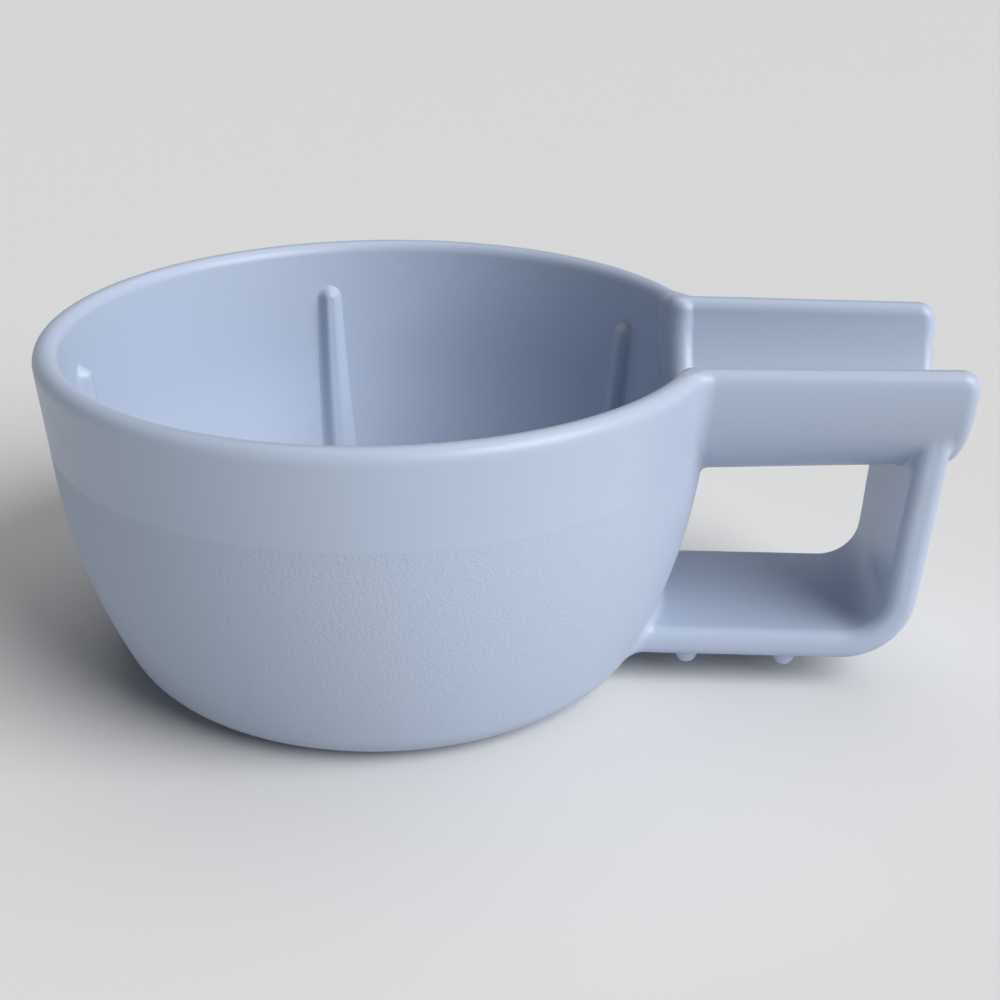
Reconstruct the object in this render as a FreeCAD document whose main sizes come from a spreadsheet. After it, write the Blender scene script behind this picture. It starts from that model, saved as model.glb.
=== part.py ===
"""Shaving mug: a lather bowl with a half-pipe brush rest for a handle and a finger loop below it.

The real mug is one plastic moulding.  The model keeps its moulded features as separate named solids
that meet face to face.  Frame: +Z up, the origin on the table at the bowl's axis, +X along the handle.
"""
import FreeCAD, Part
import os
import re
import Sketcher

SIZES = {
    "rim_radius": 58.0,
    "bowl_height": 60.0,
    "wall": 4.2,
    "heel_radius": 10.6,
    "heel_lean": 25.2,
    "side_radius": 99.5,
    "side_draft": 5.2,
    "band_height": 16.2,
    "trough_length": 40.4,
    "trough_root_half": 21.8,
    "trough_end_half": 20.4,
    "trough_root_depth": 23.9,
    "trough_end_depth": 22.2,
    "trough_bottom_radius": 13.0,
    "trough_lean": 5.0,
    "mouth_step": 0.6,
    "loop_half_width": 17.0,
    "loop_edge_radius": 2.1,
    "strap_underside": 5.8,
    "strap_thickness": 5.2,
    "post_thickness": 5.5,
    "post_lean": 5.4,
    "post_setback": 6.4,
    "loop_corner_radius": 12.5,
    "rib_half_width_top": 2.4,
    "rib_half_width_foot": 3.6,
    "rib_height": 2.0,
    "rib_top_gap": 8.6,
    "rib_floor_reach": 4.0,
    "rib_first_angle": 36.0,
    "rib_spacing": 72.0,
    "pip_radius": 2.2,
    "pip_height": 3.0,
    "pip_first_offset": 3.2,
    "pip_last_offset": 7.9,
    "pip_edge_gap": 4.4,
    "root_gap": 2.0,
    "strap_root_gap": 3.0,
    "floor_reserve": 1.8,
}
RIB_COUNT = 5
CAP = ("half turn", 1)
CENTRE = 3

doc = FreeCAD.newDocument("shaving_mug")
sheet = doc.addObject("Spreadsheet::Sheet", "Sizes")
for row, (alias, number) in enumerate(SIZES.items(), start=1):
    sheet.set(f"A{row}", alias)
    sheet.set(f"B{row}", str(number))
    sheet.setAlias(f"B{row}", alias)
doc.recompute()


def linked(formula):
    """Return the formula with every size name pointing at the sheet."""
    return re.sub(r"\b[a-z]+_[a-z_]+\b|\bwall\b", lambda name: "Sizes." + name.group(0), formula)


def number(formula):
    """Return what a formula of size names comes to now."""
    return float(sheet.evalExpression(linked(formula)))


# The bowl's outline, outer side, from the table up.
HEEL_TOP_Z = "(heel_radius * (1 - sin(heel_lean)))"
SIDE_TOP_Z = f"({HEEL_TOP_Z} + side_radius * (sin(heel_lean) - sin(side_draft)))"
LIP_OUT_X = "(rim_radius - wall / 2 * (1 - cos(side_draft)))"
LIP_OUT_Z = "(bowl_height - wall / 2 * (1 + sin(side_draft)))"
SIDE_TOP_X = f"({LIP_OUT_X} - tan(side_draft) * ({LIP_OUT_Z} - {SIDE_TOP_Z}))"
HEEL_TOP_X = f"({SIDE_TOP_X} - side_radius * (cos(side_draft) - cos(heel_lean)))"
FLAT_X = f"({HEEL_TOP_X} - heel_radius * cos(heel_lean))"
GRAIN_LINE = "(bowl_height - band_height)"
# Where the handle ends, where the strap leaves the bowl and where it turns up into the post.
TROUGH_END = "(rim_radius + trough_length)"
STRAP_ROOT = f"({FLAT_X} + heel_radius + strap_root_gap)"
BEND_START = f"({TROUGH_END} - post_setback - loop_corner_radius)"


def new_body(name):
    """Return a new, empty body."""
    return doc.addObject("PartDesign::Body", name)


def new_sketch(body, name, role, distance="0"):
    """Return a sketch on one of the body's own origin planes, moved out along the plane's normal."""
    plane = [feature for feature in body.Origin.OriginFeatures if feature.Role == role][0]
    sketch = body.newObject("Sketcher::SketchObject", name)
    sketch.AttachmentSupport = [(plane, "")]
    sketch.MapMode = "FlatFace"
    sketch.setExpression("AttachmentOffset.Base.z", linked(distance))
    return sketch


def outline(sketch, corners, edges):
    """Draw a closed outline and bind every corner and every arc to the sheet.

    corners holds a pair of formulas for each corner.  edges holds, for the edge that leaves each
    corner, None for a line, (radius formula, turn) for an arc, with turn +1 where it runs anticlockwise,
    or CAP for an anticlockwise half turn, as round the edge of a wall.
    """
    points = [FreeCAD.Vector(number(across), number(up), 0) for across, up in corners]
    count = len(points)
    for index, edge in enumerate(edges):
        start = points[index]
        end = points[(index + 1) % count]
        if edge is None:
            sketch.addGeometry(Part.LineSegment(start, end))
            continue
        chord = end - start
        radius, turn = (chord.Length / 2, 1) if edge == CAP else (number(edge[0]), edge[1])
        rise = max(radius ** 2 - chord.Length ** 2 / 4, 0) ** 0.5
        normal = FreeCAD.Vector(-chord.y, chord.x, 0).normalize() * turn
        middle = (start + end) * 0.5 + normal * (rise - radius)
        sketch.addGeometry(Part.Arc(start, middle, end))
    ends = [(2, 1) if edge and edge[1] == -1 else (1, 2) for edge in edges]
    for index, edge in enumerate(edges):
        after = (index + 1) % count
        sketch.addConstraint(Sketcher.Constraint("Coincident", index, ends[index][1], after, ends[after][0]))
        across, up = corners[index]
        bind_distance(sketch, "DistanceX", index, ends[index][0], across)
        bind_distance(sketch, "DistanceY", index, ends[index][0], up)
        if edge == CAP:
            bind_distance(sketch, "DistanceY", index, CENTRE, f"({up} + {corners[after][1]}) / 2")
        elif edge:
            bound = sketch.addConstraint(Sketcher.Constraint("Radius", index, number(edge[0])))
            sketch.setExpression(f"Constraints[{bound}]", linked(edge[0]))


def bind_distance(sketch, kind, index, point, formula):
    """Hold one corner of an outline at a distance from the sketch's origin, along one axis."""
    bound = sketch.addConstraint(Sketcher.Constraint(kind, -1, 1, index, point, number(formula)))
    sketch.setExpression(f"Constraints[{bound}]", linked(formula))


def inset(across, up, lean, amount):
    """Return a wall point moved square into the wall, whose face leans back by lean."""
    return f"({across} - ({amount}) * cos({lean}))", f"({up} + ({amount}) * sin({lean}))"


def revolved(name, corners, edges):
    """Return a body turned about the bowl's axis from an outline."""
    body = new_body(name)
    sketch = new_sketch(body, name + "_outline", "XZ_Plane")
    outline(sketch, corners, edges)
    turned = body.newObject("PartDesign::Revolution", name + "_turned")
    turned.Profile = sketch
    turned.ReferenceAxis = (sketch, ["V_Axis"])
    turned.Angle = 360
    return body


def bowl_shell():
    """Return the whole bowl: flat floor, round heel, bellied side and a full round lip."""
    corners = [
        ("0", "0"),
        (FLAT_X, "0"),
        (HEEL_TOP_X, HEEL_TOP_Z),
        (SIDE_TOP_X, SIDE_TOP_Z),
        (LIP_OUT_X, LIP_OUT_Z),
        inset(LIP_OUT_X, LIP_OUT_Z, "side_draft", "wall"),
        inset(SIDE_TOP_X, SIDE_TOP_Z, "side_draft", "wall"),
        inset(HEEL_TOP_X, HEEL_TOP_Z, "heel_lean", "wall"),
        (FLAT_X, "wall"),
        ("0", "wall"),
    ]
    edges = [
        None,
        ("heel_radius", 1),
        ("side_radius", 1),
        None,
        CAP,
        None,
        ("side_radius - wall", -1),
        ("heel_radius - wall", -1),
        None,
        None,
    ]
    return revolved("bowl_shell", corners, edges)


def bowl_filling(name, skin):
    """Return the bowl's inside as a solid, shrunk by skin and open upwards past the lip."""
    depth = f"(wall + {skin})"
    top_x, top_z = inset(LIP_OUT_X, LIP_OUT_Z, "side_draft", depth)
    corners = [
        ("0", depth),
        (FLAT_X, depth),
        inset(HEEL_TOP_X, HEEL_TOP_Z, "heel_lean", depth),
        inset(SIDE_TOP_X, SIDE_TOP_Z, "side_draft", depth),
        (top_x, top_z),
        (top_x, "(bowl_height + wall)"),
        ("0", "(bowl_height + wall)"),
    ]
    edges = [None, (f"heel_radius - {depth}", 1), (f"side_radius - {depth}", 1), None, None, None, None]
    return revolved(name, corners, edges)


def trough_section(where, skin):
    """Return the right half of the trough's section at a distance along the handle.

    The face is an arc from the lip tangent to a smaller arc round the bottom.  skin is how far the
    face lies inside the trough's outer face.
    """
    share = f"(({where} - rim_radius) / trough_length)"
    half = f"(trough_root_half + (trough_end_half - trough_root_half) * {share})"
    depth = f"(trough_root_depth + (trough_end_depth - trough_root_depth) * {share})"
    start_z = "(bowl_height - wall / 2 * (1 + sin(trough_lean)))"
    centre_z = f"(bowl_height - {depth} + trough_bottom_radius)"
    drop = f"({start_z} - {centre_z})"
    side = (
        f"(({half} ^ 2 + {drop} ^ 2 - trough_bottom_radius ^ 2) / 2"
        f" / ({half} * cos(trough_lean) - {drop} * sin(trough_lean) - trough_bottom_radius))"
    )
    side_x = f"({half} - {side} * cos(trough_lean))"
    side_z = f"({start_z} + {side} * sin(trough_lean))"
    reach = f"({side} - trough_bottom_radius)"
    bottom = f"(trough_bottom_radius - ({skin}))"
    touch = (f"({bottom} * (0 - {side_x}) / {reach})", f"({centre_z} + {bottom} * ({centre_z} - {side_z}) / {reach})")
    return inset(half, start_z, "trough_lean", skin), touch, f"({side} - ({skin}))", bottom


def mirrored(point):
    """Return a section's point on the other side of the handle's middle plane."""
    return f"(0 - {point[0]})", point[1]


def lofted(name, section, start, end):
    """Return a body lofted along the handle between two sections of the same kind."""
    body = new_body(name)
    sketches = []
    for label, where in (("start", start), ("end", end)):
        sketch = new_sketch(body, f"{name}_{label}", "YZ_Plane", where)
        outline(sketch, *section(where))
        sketches.append(sketch)
    loft = body.newObject("PartDesign::AdditiveLoft", name + "_loft")
    loft.Profile = sketches[0]
    loft.Sections = [sketches[1]]
    loft.Ruled = True
    return body


def trough_wall_section(where):
    """Return the outline of the trough's wall, with a full round edge on each rail."""
    out_top, out_touch, out_side, out_bottom = trough_section(where, "0")
    in_top, in_touch, in_side, in_bottom = trough_section(where, "wall")
    corners = [mirrored(out_top), mirrored(out_touch), out_touch, out_top, in_top, in_touch]
    corners += [mirrored(in_touch), mirrored(in_top)]
    edges = [(out_side, 1), (out_bottom, 1), (out_side, 1), CAP]
    edges += [(in_side, -1), (in_bottom, -1), (in_side, -1), CAP]
    return corners, edges


def filled_section(skin):
    """Return a function that outlines everything above a face of the trough."""
    def section(where):
        top, touch, side, bottom = trough_section(where, skin)
        roof = "(bowl_height + wall)"
        corners = [mirrored(top), mirrored(touch), touch, top, (top[0], roof), mirrored((top[0], roof))]
        return corners, [(side, 1), (bottom, 1), (side, 1), None, None, None]
    return section


def finger_loop():
    """Return the loop: a strap out of the bowl's foot, a round corner and a post up to the trough."""
    body = new_body("finger_loop")
    sketch = new_sketch(body, "finger_loop_outline", "XZ_Plane")
    lean = "post_lean"
    low = "strap_underside"
    high = "(strap_underside + strap_thickness)"
    roof = "(bowl_height - wall)"
    foot_x = f"({TROUGH_END} - post_setback)"
    outer = "loop_corner_radius"
    inner = "(loop_corner_radius - strap_thickness / 2)"
    back = f"({foot_x} - post_thickness / cos({lean}))"
    # A corner's run along each leg, for legs that open by the post's lean past a right angle.
    run = f"tan(45 - {lean} / 2)"
    inner_x = f"({back} + strap_thickness * tan({lean}))"
    corners = [
        (FLAT_X, low),
        (f"({foot_x} - {outer} * {run})", low),
        (f"({foot_x} + {outer} * {run} * sin({lean}))", f"({low} + {outer} * {run} * cos({lean}))"),
        (f"({foot_x} + ({roof} - {low}) * tan({lean}))", roof),
        (f"({back} + ({roof} - {low}) * tan({lean}))", roof),
        (f"({inner_x} + {inner} * {run} * sin({lean}))", f"({high} + {inner} * {run} * cos({lean}))"),
        (f"({inner_x} - {inner} * {run})", high),
        (FLAT_X, high),
    ]
    edges = [None, (outer, 1), None, None, None, (inner, -1), None, None]
    outline(sketch, corners, edges)
    pad = body.newObject("PartDesign::Pad", "finger_loop_pad")
    pad.Profile = sketch
    pad.Midplane = True
    pad.setExpression("Length", linked("2 * loop_half_width"))
    doc.recompute()
    ends = (number(FLAT_X), number(roof))
    rounded = body.newObject("PartDesign::Fillet", "finger_loop_round")
    rounded.Base = (pad, long_edges(pad.Shape, ends))
    rounded.setExpression("Radius", linked("loop_edge_radius"))
    return body


def long_edges(shape, ends):
    """Return the names of the loop's edges that run along it, leaving out those of its two end faces."""
    names = []
    for index, edge in enumerate(shape.Edges, start=1):
        box = edge.BoundBox
        across = box.YLength > 1e-6
        at_start = abs(box.XMax - ends[0]) < 1e-6
        at_end = abs(box.ZMin - ends[1]) < 1e-6
        if not (across or at_start or at_end):
            names.append(f"Edge{index}")
    return names


def block(name, low, high):
    """Return a box between two corners, each a triple of formulas."""
    box = doc.addObject("Part::Box", name)
    for side, start, end in zip(("Length", "Width", "Height"), low, high):
        box.setExpression(side, linked(f"{end} - ({start})"))
    for axis, start in zip("xyz", low):
        box.setExpression(f"Placement.Base.{axis}", linked(start))
    return box


def cut(name, base, tool):
    """Return base with tool taken away."""
    result = doc.addObject("Part::Cut", name)
    result.Base = base
    result.Tool = tool
    return result


def common(name, first, second):
    """Return what two solids share."""
    result = doc.addObject("Part::Common", name)
    result.Base = first
    result.Tool = second
    return result


def fuse(name, shapes):
    """Return several solids joined into one."""
    result = doc.addObject("Part::MultiFuse", name)
    result.Shapes = shapes
    result.Refine = True
    return result


def moulding():
    """Return the whole mug without its ribs and pips."""
    inside = bowl_filling("bowl_inside", "0")
    start = "(rim_radius - 5 * wall)"
    mouth = lofted("mouth_tool", filled_section("wall + mouth_step"), start, "(rim_radius + 2 * wall)")
    trough = lofted("trough_wall", trough_wall_section, start, TROUGH_END)
    above = lofted("trough_filled", filled_section("wall / 2"), start, f"({TROUGH_END} + wall)")
    open_bowl = cut("open_bowl", bowl_shell(), mouth)
    open_trough = cut("open_trough", trough, inside)
    loop_outside = cut("loop_outside", finger_loop(), inside)
    open_loop = cut("open_loop", loop_outside, above)
    return fuse("moulding", [open_bowl, open_trough, open_loop])


def rib_prism(angle_index):
    """Return the upright bar that gives one rib its outline as seen from the bowl's axis."""
    name = f"rib_bar_{angle_index}"
    body = new_body(name)
    sketch = new_sketch(body, name + "_outline", "YZ_Plane", f"({FLAT_X} - rib_floor_reach)")
    top = "(bowl_height - rib_top_gap - rib_half_width_top)"
    corners = [
        ("(0 - rib_half_width_foot)", "0"),
        ("rib_half_width_foot", "0"),
        ("rib_half_width_top", top),
        ("(0 - rib_half_width_top)", top),
    ]
    outline(sketch, corners, [None, None, CAP, None])
    pad = body.newObject("PartDesign::Pad", name + "_pad")
    pad.Profile = sketch
    pad.setExpression("Length", linked(f"rim_radius - ({FLAT_X} - rib_floor_reach)"))
    body.setExpression("Placement.Rotation.Angle", linked(f"rib_first_angle + rib_spacing * {angle_index - 1}"))
    body.Placement.Rotation = FreeCAD.Rotation(FreeCAD.Vector(0, 0, 1), number("rib_first_angle"))
    return body


def lather_ribs():
    """Return the ribs that stand on the inside of the bowl."""
    rib_layer = cut("rib_layer", doc.getObject("bowl_inside"), bowl_filling("rib_clear", "rib_height"))
    return {f"lather_rib_{index}": common(f"rib_{index}", rib_layer, rib_prism(index))
            for index in range(1, RIB_COUNT + 1)}


def pips():
    """Return the small domed studs under the strap, two along each edge."""
    nodes = {}
    rows = {"inner": f"{STRAP_ROOT} + pip_first_offset", "outer": f"{BEND_START} - pip_last_offset"}
    for side, sign in (("left", 1), ("right", -1)):
        for row, along in rows.items():
            name = f"{side}_{row}_pip"
            body = new_body(name)
            sketch = new_sketch(body, name + "_outline", "XZ_Plane")
            top = "strap_underside"
            dome = "((pip_radius ^ 2 + pip_height ^ 2) / 2 / pip_height)"
            corners = [("0", f"({top} - pip_height)"), ("pip_radius", top), ("0", top)]
            outline(sketch, corners, [(dome, 1), None, None])
            turned = body.newObject("PartDesign::Revolution", name + "_turned")
            turned.Profile = sketch
            turned.ReferenceAxis = (sketch, ["V_Axis"])
            turned.Angle = 360
            body.setExpression("Placement.Base.x", linked(along))
            body.setExpression("Placement.Base.y", linked(f"{sign} * (loop_half_width - pip_edge_gap)"))
            nodes[name] = body
    return nodes


def regions():
    """Return the block of space that each moulded feature fills, by node name."""
    out = "(rim_radius + bowl_height)"
    left = f"(0 - {out})"
    root = "(rim_radius + root_gap)"
    shelf = "(strap_underside + strap_thickness + loop_corner_radius - strap_thickness / 2)"
    clear = "(strap_underside + strap_thickness + strap_root_gap)"
    under = "(bowl_height - trough_root_depth - floor_reserve)"
    rail = "trough_bottom_radius"
    end = f"({TROUGH_END} + wall)"
    sky = "(bowl_height + wall)"
    low = "(0 - wall)"
    blocks = {
        "bowl_base": ((left, left, low), (STRAP_ROOT, out, "wall")),
        "rim_band": ((left, left, GRAIN_LINE), (root, out, sky)),
        "trough_floor": ((root, f"(0 - {rail})", under), (end, rail, sky)),
        "left_trough_rail": ((root, rail, under), (end, out, sky)),
        "right_trough_rail": ((root, left, under), (end, f"(0 - {rail})", sky)),
        "loop_strap": ((STRAP_ROOT, left, low), (BEND_START, out, clear)),
        "loop_bend": ((BEND_START, left, low), (end, out, shelf)),
        "loop_post": ((root, left, shelf), (end, out, under)),
    }
    spaces = {name: block(name + "_space", *corners) for name, corners in blocks.items()}
    wall_low = block("wall_low_space", (left, left, "wall"), (STRAP_ROOT, out, clear))
    wall_high = block("wall_high_space", (left, left, clear), (root, out, GRAIN_LINE))
    spaces["bowl_wall"] = fuse("bowl_wall_space", [wall_low, wall_high])
    return spaces


def build():
    """Build every sub-part, check it and write its file."""
    whole = moulding()
    nodes = {name: common(name, whole, space) for name, space in regions().items()}
    nodes.update(lather_ribs())
    nodes.update(pips())
    for name, node in nodes.items():
        node.Label = name
    doc.recompute()
    for item in doc.Objects:
        if "Invalid" in item.State or "Error" in item.State:
            raise RuntimeError(f"{item.Name} did not build: {item.State}")
    os.makedirs("parts", exist_ok=True)
    for name, node in nodes.items():
        shape = node.Shape
        if shape.isNull() or not shape.isValid() or len(shape.Solids) != 1:
            raise RuntimeError(f"{name} is not one closed solid: {len(shape.Solids)}")
        shape.exportStep(f"parts/{name}.step")
        print(f"{name:20s} {shape.Volume:9.1f} mm3")


build()
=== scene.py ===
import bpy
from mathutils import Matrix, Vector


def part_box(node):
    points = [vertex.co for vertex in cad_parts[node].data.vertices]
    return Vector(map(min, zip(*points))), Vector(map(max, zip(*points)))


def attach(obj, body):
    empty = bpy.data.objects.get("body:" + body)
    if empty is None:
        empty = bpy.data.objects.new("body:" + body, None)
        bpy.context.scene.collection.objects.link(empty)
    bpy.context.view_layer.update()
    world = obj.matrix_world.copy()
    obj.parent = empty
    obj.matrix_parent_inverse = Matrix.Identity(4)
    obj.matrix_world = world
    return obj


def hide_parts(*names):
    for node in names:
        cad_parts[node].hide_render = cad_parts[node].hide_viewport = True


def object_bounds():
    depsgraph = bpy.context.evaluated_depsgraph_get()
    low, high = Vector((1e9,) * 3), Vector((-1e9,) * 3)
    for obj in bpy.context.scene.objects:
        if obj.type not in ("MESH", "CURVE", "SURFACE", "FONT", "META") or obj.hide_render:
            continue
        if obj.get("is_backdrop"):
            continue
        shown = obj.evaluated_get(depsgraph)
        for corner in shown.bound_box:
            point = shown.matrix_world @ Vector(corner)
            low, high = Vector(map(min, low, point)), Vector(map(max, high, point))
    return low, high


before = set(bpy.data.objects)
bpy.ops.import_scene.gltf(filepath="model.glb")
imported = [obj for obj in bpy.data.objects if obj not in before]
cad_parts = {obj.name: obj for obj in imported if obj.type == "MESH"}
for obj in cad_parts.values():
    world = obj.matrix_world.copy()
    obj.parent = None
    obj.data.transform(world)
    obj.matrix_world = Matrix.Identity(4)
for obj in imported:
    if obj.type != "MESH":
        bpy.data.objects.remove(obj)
"""Shaving mug: the looks of a one-piece plastic lather bowl with a trough handle and a finger loop."""

import logging
import math
from dataclasses import dataclass, field
from enum import Enum
from typing import Iterable, Optional, Sequence

import bmesh
import bpy
import numpy as np
import openvdb
from mathutils import Matrix, Vector

LOG = logging.getLogger("shaving_mug")
MM = 0.001
ON_PLANE = 1e-5
MERGE_GAP = 2e-6
LID_MARGIN = 1e-6
SHARP_TURN = math.radians(30.0)
SHARP_RIB = math.radians(75.0)
Array = np.ndarray


# ----------------------------------------------
# Form: the moulding as a distance field, in millimetres
# ----------------------------------------------


def round_join(first: Array, second: Array, radius: Array) -> Array:
    """Join two solids with a rolled fillet where they meet.

    Args:
        first: Distances to the first solid.
        second: Distances to the second solid.
        radius: Fillet radius at each point.

    Returns:
        Distances to the joined solid.
    """
    hollow = np.hypot(np.maximum(radius - first, 0.0), np.maximum(radius - second, 0.0))
    return np.maximum(radius, np.minimum(first, second)) - hollow


def ease(value: Array, start: float, end: float) -> Array:
    """Return 0 at start and 1 at end, with a soft run between them."""
    share = np.clip((value - start) / (end - start), 0.0, 1.0)
    return share * share * (3.0 - 2.0 * share)


def to_segment(across: Array, up: Array, start: tuple, end: tuple) -> Array:
    """Return each point's distance to a straight piece of an outline."""
    run = np.subtract(end, start)
    share = ((across - start[0]) * run[0] + (up - start[1]) * run[1]) / float(run @ run)
    share = np.clip(share, 0.0, 1.0)
    return np.hypot(across - start[0] - share * run[0], up - start[1] - share * run[1])


@dataclass(frozen=True)
class BowlForm:
    """The bowl's wall: a flat floor, a round heel, a bellied side and a full round lip."""

    rim_radius: float = 58.0
    height: float = 60.0
    wall: float = 4.2
    heel_radius: float = 10.6
    heel_lean: float = math.radians(25.2)
    side_radius: float = 99.5
    side_draft: float = math.radians(5.2)

    @property
    def lip(self) -> tuple[float, float]:
        """Centre of the round lip, as radius and height."""
        return self.rim_radius - self.wall / 2, self.height - self.wall / 2

    @property
    def side_top(self) -> float:
        """Height at which the side's arc becomes the straight upper side."""
        heel_top = self.heel_radius * (1 - math.sin(self.heel_lean))
        return heel_top + self.side_radius * (math.sin(self.heel_lean) - math.sin(self.side_draft))

    @property
    def side_centre(self) -> tuple[float, float]:
        """Centre of the side's arc."""
        half = self.wall / 2
        up = self.side_top + self.side_radius * math.sin(self.side_draft)
        start_up = self.lip[1] - half * math.sin(self.side_draft)
        start_across = self.lip[0] + half * math.cos(self.side_draft)
        across = start_across - math.tan(self.side_draft) * (start_up - self.side_top)
        return across - self.side_radius * math.cos(self.side_draft), up

    @property
    def heel_centre(self) -> tuple[float, float]:
        """Centre of the heel's arc, which is also where the flat floor ends."""
        gap = self.side_radius - self.heel_radius
        across, up = self.side_centre
        return across + gap * math.cos(self.heel_lean), up - gap * math.sin(self.heel_lean)

    def radius_at(self, up: Array, inset: float) -> Array:
        """Return the radius, at a height, of the face that lies inset into the wall.

        Args:
            up: Heights above the table.
            inset: Depth below the outer face.

        Returns:
            Radii of that face.
        """
        heel_across, heel_up = self.heel_centre
        side_across, side_up = self.side_centre
        heel = self.heel_radius - inset
        side = self.side_radius - inset
        low = heel_across + np.sqrt(np.maximum(heel**2 - np.minimum(up - heel_up, 0.0) ** 2, 0.0))
        middle = side_across + np.sqrt(np.maximum(side**2 - (up - side_up) ** 2, 0.0))
        top_up = side_up - side * math.sin(self.side_draft)
        top_across = side_across + side * math.cos(self.side_draft)
        high = top_across + (up - top_up) * math.tan(self.side_draft)
        heel_end = heel_up - heel * math.sin(self.heel_lean)
        return np.where(up < heel_end, low, np.where(up < top_up, middle, high))

    def from_middle(self, radius: Array, up: Array) -> Array:
        """Return signed distances to the middle of the wall, positive outside the bowl."""
        half = self.wall / 2
        distance = to_segment(radius, up, (0.0, half), (self.heel_centre[0], half))
        arcs = (
            (self.heel_centre, self.heel_radius - half, -math.pi / 2, -self.heel_lean),
            (self.side_centre, self.side_radius - half, -self.heel_lean, -self.side_draft),
        )
        for (across, level), size, low, high in arcs:
            turn = np.clip(np.arctan2(up - level, radius - across), low, high)
            gap = np.hypot(radius - across - size * np.cos(turn), up - level - size * np.sin(turn))
            distance = np.minimum(distance, gap)
        side_top = (
            self.side_centre[0] + (self.side_radius - half) * math.cos(self.side_draft),
            self.side_centre[1] - (self.side_radius - half) * math.sin(self.side_draft),
        )
        distance = np.minimum(distance, to_segment(radius, up, side_top, self.lip))
        inside = (up > half) & (radius < self.radius_at(up, half))
        return np.where(inside, -distance, distance)

    def inner_line(self, start: float, top: float, step: float = 0.3) -> list[tuple[float, float]]:
        """Trace the bowl's inner face from the floor up the wall.

        Args:
            start: Radius at which the line starts on the floor.
            top: Height at which it ends.
            step: Spacing of its points.

        Returns:
            Points as radius and height, from the floor up.
        """
        across, level = self.heel_centre
        inner = self.heel_radius - self.wall
        points = [(x, self.wall) for x in np.linspace(start, across, 12)]
        turns = np.linspace(-math.pi / 2, -self.heel_lean, int(inner / step))[1:]
        points += [(across + inner * math.cos(t), level + inner * math.sin(t)) for t in turns]
        levels = np.linspace(points[-1][1], top, int((top - points[-1][1]) / step))[1:]
        points += [(float(self.radius_at(np.array(z), self.wall)), z) for z in levels]
        return points


@dataclass(frozen=True)
class TroughForm:
    """The handle: a tapering half pipe with round-edged rails, open into the bowl and at its end."""

    bowl: BowlForm
    length: float = 40.4
    post_setback: float = 6.4
    root_half: float = 21.8
    end_half: float = 20.4
    root_depth: float = 23.9
    end_depth: float = 22.2
    bottom_radius: float = 13.0
    lean: float = math.radians(5.0)
    corner_radius: float = 1.0
    mouth_step: float = 0.6

    def from_outside(self, along: Array, side: Array, up: Array) -> tuple[Array, Array]:
        """Measure points against the trough's outer face.

        Args:
            along: Distances along the handle from the bowl's axis.
            side: Distances sideways from the handle's middle plane.
            up: Heights above the table.

        Returns:
            Signed distances to the outer face, and heights above the line where the lip starts.
        """
        bowl = self.bowl
        share = (along - bowl.rim_radius) / self.length
        half = self.root_half + (self.end_half - self.root_half) * share
        depth = self.root_depth + (self.end_depth - self.root_depth) * share
        start_up = bowl.height - bowl.wall / 2 * (1 + math.sin(self.lean))
        centre_up = bowl.height - depth + self.bottom_radius
        drop = start_up - centre_up
        tall, flat = math.cos(self.lean), math.sin(self.lean)
        spare = half * tall - drop * flat - self.bottom_radius
        arc = (half**2 + drop**2 - self.bottom_radius**2) / (2 * spare)
        arc_across = half - arc * tall
        arc_up = start_up + arc * flat
        reach = arc - self.bottom_radius
        touch_across = -arc_across / reach
        touch_up = (centre_up - arc_up) / reach
        across = np.abs(side)
        below = touch_across * (up - centre_up) - touch_up * across < 0
        beyond = tall * (up - arc_up) + flat * (across - arc_across)
        bottom_face = np.hypot(across, up - centre_up) - self.bottom_radius
        side_face = np.hypot(across - arc_across, up - arc_up) - arc
        straight_face = (across - half) * tall - (up - start_up) * flat
        face = np.where(below, bottom_face, np.where(beyond > 0, straight_face, side_face))
        return face, np.where(below, -drop, beyond)


@dataclass(frozen=True)
class LoopForm:
    """The finger loop: a strap out of the bowl's foot, a round bend and a leaning post."""

    foot: float
    half_width: float = 17.0
    edge_radius: float = 2.1
    underside: float = 5.8
    strap_thickness: float = 5.2
    post_thickness: float = 5.5
    lean: float = math.radians(5.4)
    bend_radius: float = 12.5
    thicken_run: float = 12.0

    def distance(self, along: Array, side: Array, up: Array) -> Array:
        """Return distances to the loop, as a round-edged band that runs on past both of its ends."""
        half = self.strap_thickness / 2
        middle = self.bend_radius - half
        run = self.bend_radius * math.tan(math.pi / 4 - self.lean / 2)
        centre_along = self.foot - run
        centre_up = self.underside + self.bend_radius
        offset_along = along - centre_along
        offset_up = up - centre_up
        strap = np.abs(offset_up + middle)
        bend = np.abs(np.hypot(offset_along, offset_up) - middle)
        face = math.cos(self.lean) * offset_along - math.sin(self.lean) * offset_up
        extra = self.post_thickness - self.strap_thickness
        grow = ease(up, centre_up, centre_up + self.thicken_run) * extra / 2
        post = np.abs(face - middle + grow) - grow
        on_post = math.cos(self.lean) * offset_up + math.sin(self.lean) * offset_along > 0
        band = np.where(on_post, post, np.where(offset_along < 0, strap, bend)) - half
        flat = band + self.edge_radius
        edge = np.abs(side) - self.half_width + self.edge_radius
        outside = np.hypot(np.maximum(flat, 0.0), np.maximum(edge, 0.0))
        return outside + np.minimum(np.maximum(flat, edge), 0.0) - self.edge_radius


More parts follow.
